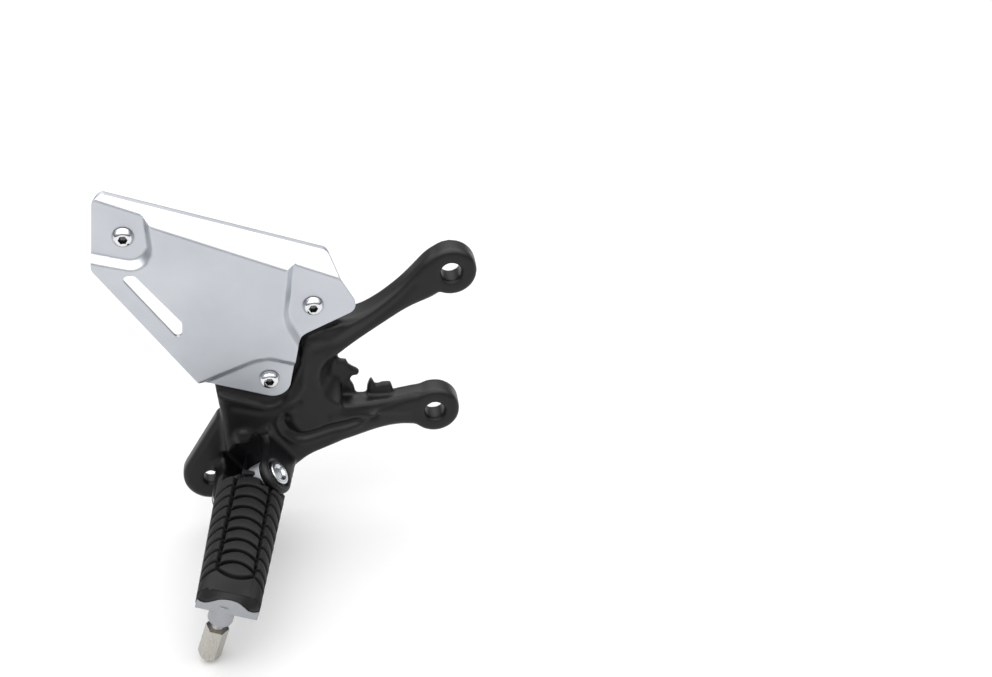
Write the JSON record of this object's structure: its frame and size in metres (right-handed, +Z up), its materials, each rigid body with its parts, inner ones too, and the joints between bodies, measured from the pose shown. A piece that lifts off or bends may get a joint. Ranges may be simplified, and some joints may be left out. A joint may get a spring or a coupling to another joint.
{
  "type": "motorcycle footrest bracket",
  "caption": "Cast footrest bracket with two mounting arms, a sheet heel plate and a folding sprung peg with a ribbed rubber and a feeler bolt.",
  "frame": {"origin": "centre of the upper mounting bore on the inboard mating face", "axes": "+X to the front of the motorcycle, +Y inboard, square to the mating face, +Z up"},
  "size_m": [0.1858, 0.1266, 0.2037],
  "materials": {
    "casting_black": "satin black powder coat",
    "plate_aluminium": "satin anodised sheet",
    "peg_cast": "as cast, tumbled",
    "peg_rubber": "moulded",
    "grommet_rubber": "moulded",
    "screw_steel": "polished stainless",
    "zinc_bright": "bright zinc plated",
    "spring_steel": "oiled spring steel",
    "nickel": "nickel plated"
  },
  "bodies": {
    "bracket": {"bracket_casting": "casting_black", "heel_plate": "plate_aluminium", "pivot_pin": "zinc_bright", "pin_washer": "zinc_bright", "retaining_clip": "spring_steel", "return_spring": "spring_steel", "plate_screw_rear": "screw_steel", "grommet_rear": "grommet_rubber", "sleeve_rear": "zinc_bright", "washer_rear": "zinc_bright", "nut_rear": "zinc_bright", "plate_screw_front": "screw_steel", "grommet_front": "grommet_rubber", "sleeve_front": "zinc_bright", "washer_front": "zinc_bright", "nut_front": "zinc_bright", "plate_screw_lower": "screw_steel", "grommet_lower": "grommet_rubber", "sleeve_lower": "zinc_bright", "washer_lower": "zinc_bright", "nut_lower": "zinc_bright"},
    "footpeg": {"peg_body": "peg_cast", "peg_rubber": "peg_rubber", "rubber_insert": "zinc_bright", "rubber_screw_inner": "zinc_bright", "rubber_screw_outer": "zinc_bright", "feeler_bolt": "nickel"}
  },
  "joints": [
    {"name": "peg_fold", "type": "hinge", "parent": "bracket", "child": "footpeg", "pos_m": [-0.10587, -0.03701, -0.10465], "axis": [-0.8062, 0.1458, -0.5734], "range_deg": [0, 85], "stiffness_Nm_per_rad": 0.35, "springref_deg": -60, "deforming": ["return_spring"]}
  ]
}
